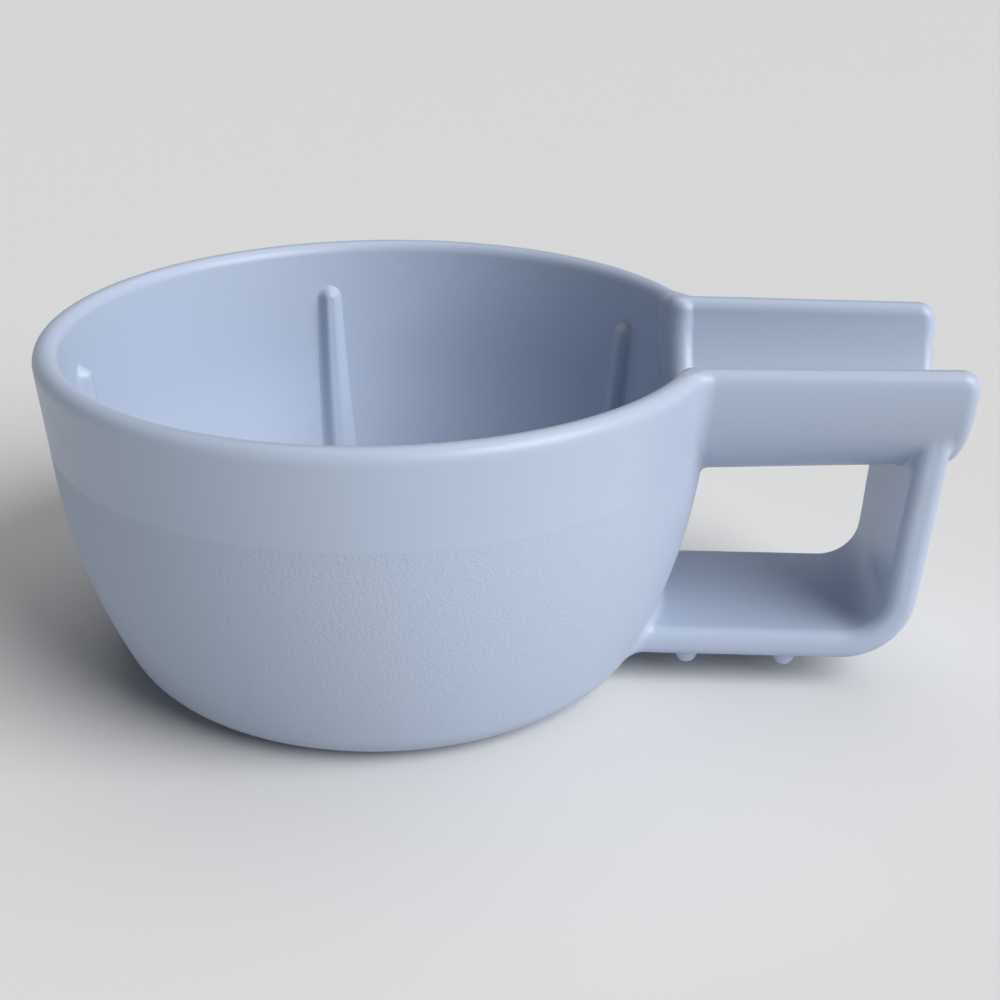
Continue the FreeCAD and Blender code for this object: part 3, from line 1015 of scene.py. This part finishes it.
@dataclass
class Handle:
    """The trough, the finger loop under it and the pips under the strap."""

    skin: Skin
    smooth: bpy.types.Material
    pip_radius: float = 2.2
    pip_height: float = 3.0
    pip_foot: float = 0.5
    pip_roundness: float = 0.9
    strap_clear: float = 3.0

    def build(self) -> None:
        """Build and dress every piece of the handle."""
        for name in ("trough_floor", "left_trough_rail", "right_trough_rail"):
            self.build_piece(name, self.trough_cuts(name))
        for name in ("loop_strap", "loop_bend", "loop_post"):
            self.build_piece(name, self.loop_cuts(name))
        self.build_pips()

    def trough_cuts(self, name: str) -> tuple[Cut, ...]:
        """Return the planes that bound one piece of the trough."""
        low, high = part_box(name)
        cuts = [Cut(0, low.x / MM, True), Cut(2, low.z / MM, True)]
        if name != "right_trough_rail":
            cuts.append(Cut(1, low.y / MM, True))
        if name != "left_trough_rail":
            cuts.append(Cut(1, high.y / MM, False))
        return tuple(cuts)

    def loop_cuts(self, name: str) -> tuple[Cut, ...]:
        """Return the planes that bound one piece of the loop."""
        strap_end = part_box("loop_strap")[1].x / MM
        bend_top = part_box("loop_bend")[1].z / MM
        post_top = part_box("loop_post")[1].z / MM
        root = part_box("trough_floor")[0].x / MM
        strap_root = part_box("loop_strap")[0].x / MM
        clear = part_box("loop_strap")[1].z / MM + self.strap_clear
        cuts = {
            "loop_strap": (Cut(2, clear, False), Cut(0, strap_root, True), Cut(0, strap_end, False)),
            "loop_bend": (Cut(2, bend_top, False), Cut(0, strap_end, True)),
            "loop_post": (Cut(0, root, True), Cut(2, bend_top, True), Cut(2, post_top, False)),
        }
        return cuts[name]

    def build_piece(self, name: str, cuts: Sequence[Cut]) -> None:
        """Cut one piece of the handle out of the skin."""
        piece = self.skin.piece(name, cuts)
        piece.data.materials.append(self.smooth)
        adopt(piece, SMOOTH.slot, name)

    def build_pips(self) -> None:
        """Set a domed stud on each of the pips' places under the strap."""
        names = ("left_inner_pip", "left_outer_pip", "right_inner_pip", "right_outer_pip")
        boxes = [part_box(name) for name in names]
        centres = [((low + high) / 2).xy.to_3d() + Vector((0, 0, high.z)) for low, high in boxes]
        layout_mesh = bpy.data.meshes.new("pip_layout")
        layout_mesh.from_pydata([tuple(centre) for centre in centres], [], [])
        layout = bpy.data.objects.new("pip_layout", layout_mesh)
        bpy.context.scene.collection.objects.link(layout)
        shares = np.linspace(0.0, 1.0, 15)
        turns = shares * math.pi / 2
        dome = [
            (self.pip_radius * math.sin(turn) ** self.pip_roundness, -self.pip_height * math.cos(turn))
            for turn in turns
        ]
        inside = [(self.pip_radius, self.pip_foot), (0.0, self.pip_foot)]
        outline = outline_piece("pip_outline", dome + inside)
        pips = stud_tree().bake(
            "strap_pips", {"Outline": outline, "Layout": layout, "Around": 33, "Material": self.smooth}
        )
        bpy.data.objects.remove(outline)
        bpy.data.objects.remove(layout)
        adopt(pips, SMOOTH.slot, *names)


# ----------------------------------------------
# Studio
# ----------------------------------------------


@dataclass(frozen=True)
class Lamp:
    """A far, wide light that shines evenly from one side."""

    name: str
    side: tuple[float, float, float]
    width: float
    power: float

    def build(self) -> None:
        """Add the lamp to the scene."""
        light = bpy.data.lights.new(self.name, "SUN")
        light.angle = self.width
        light.energy = self.power
        lamp = bpy.data.objects.new(self.name, light)
        lamp.location = self.side
        lamp.rotation_euler = Vector(self.side).to_track_quat("Z", "Y").to_euler()
        bpy.context.scene.collection.objects.link(lamp)


@dataclass(frozen=True)
class Studio:
    """A pale floor, wide soft lights and the camera."""

    camera_place: tuple[float, float, float] = (0.0329, -0.2643, 0.1452)
    heading: float = -0.0457
    pitch: float = 0.4186
    roll: float = 0.0039
    lens: float = 58.1
    horizon: float = 0.5
    overhead: float = 0.04
    lamps: tuple[Lamp, ...] = (
        Lamp("key_light", (0.75, -0.45, 0.65), math.radians(45.0), 3.1),
        Lamp("top_light", (0.15, 0.25, 0.9), math.radians(60.0), 0.9),
    )

    def build(self) -> None:
        """Build the studio round the mug."""
        self.build_floor()
        for lamp in self.lamps:
            lamp.build()
        self.build_air()
        bpy.context.scene.view_settings.view_transform = "Standard"
        self.build_camera()

    def build_air(self) -> None:
        """Surround the studio with air that is pale at the horizon and dim overhead."""
        world = bpy.data.worlds.new("studio_air")
        world.use_nodes = True
        tree = world.node_tree
        background = tree.nodes["Background"]
        background.inputs["Color"].default_value = (1.0, 1.0, 1.0, 1.0)
        direction = tree.nodes.new("ShaderNodeTexCoord").outputs["Generated"]
        parts = tree.nodes.new("ShaderNodeSeparateXYZ")
        tree.links.new(direction, parts.inputs[0])
        fade = tree.nodes.new("ShaderNodeMapRange")
        fade.inputs["From Min"].default_value = 0.12
        fade.inputs["From Max"].default_value = 0.35
        fade.inputs["To Min"].default_value = self.horizon
        fade.inputs["To Max"].default_value = self.overhead
        tree.links.new(parts.outputs["Z"], fade.inputs["Value"])
        tree.links.new(fade.outputs["Result"], background.inputs["Strength"])
        bpy.context.scene.world = world

    def build_floor(self) -> None:
        """Lay a large pale floor under the mug."""
        mesh = bpy.data.meshes.new("floor")
        mesh.from_pydata([(-4, -4, 0), (4, -4, 0), (4, 4, 0), (-4, 4, 0)], [], [(0, 1, 2, 3)])
        floor = bpy.data.objects.new("floor", mesh)
        bpy.context.scene.collection.objects.link(floor)
        material = bpy.data.materials.new("floor_paper")
        material.use_nodes = True
        shader = material.node_tree.nodes["Principled BSDF"]
        shader.inputs["Base Color"].default_value = (0.74, 0.74, 0.74, 1.0)
        shader.inputs["Roughness"].default_value = 0.9
        floor.data.materials.append(material)
        floor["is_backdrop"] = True

    def build_camera(self) -> None:
        """Stand the camera at the mug's front left, looking down into the bowl."""
        flat = math.cos(self.pitch)
        ahead = Vector((math.sin(self.heading) * flat, math.cos(self.heading) * flat, -math.sin(self.pitch)))
        level = Vector((math.cos(self.heading), -math.sin(self.heading), 0.0))
        upright = level.cross(ahead)
        right = level * math.cos(self.roll) + upright * math.sin(self.roll)
        upright = right.cross(ahead)
        camera = bpy.data.objects.new("camera", bpy.data.cameras.new("camera"))
        camera.data.lens = self.lens
        camera.data.clip_start = 0.01
        turn = Matrix((right, upright, -ahead)).transposed()
        camera.matrix_world = Matrix.Translation(self.camera_place) @ turn.to_4x4()
        bpy.context.scene.collection.objects.link(camera)
        bpy.context.scene.camera = camera


def main() -> None:
    """Build the mug and its studio."""
    logging.basicConfig(level=logging.INFO, format="%(name)s: %(message)s")
    cad_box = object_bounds()
    bowl = BowlForm()
    trough = TroughForm(bowl)
    loop = LoopForm(foot=bowl.rim_radius + trough.length - trough.post_setback)
    skin = Skin(MugForm(bowl, trough, loop))
    skin.grow(*cad_box)
    smooth, grained = SMOOTH.build(), GRAINED.build()
    Vessel(skin, smooth, grained).build()
    Handle(skin, smooth).build()
    skin.whole.free()
    Studio().build()


if __name__ == "__main__":
    main()
